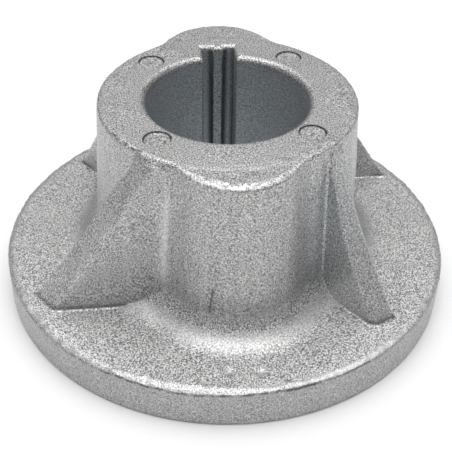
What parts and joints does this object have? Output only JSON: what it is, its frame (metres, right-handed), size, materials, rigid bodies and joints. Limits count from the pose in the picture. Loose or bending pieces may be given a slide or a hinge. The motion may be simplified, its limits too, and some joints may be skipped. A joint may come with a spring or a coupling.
{
  "type": "mower blade adapter",
  "caption": "Die-cast flanged hub that keys onto a mower engine crankshaft and backs the cutting blade, with sloping fins bracing the hub to a round flange.",
  "frame": {"origin": "centre of the bore in the plane of the blade seat, the underside of the flange", "axes": "+Z along the bore axis from the blade seat to the hub's top, +Y towards the keyway"},
  "size_m": [0.064, 0.064, 0.029],
  "materials": {
    "cast_aluminium": "die-cast, shot-blasted"
  },
  "bodies": {
    "root": {"blade_adapter": "cast_aluminium"}
  },
  "joints": []
}
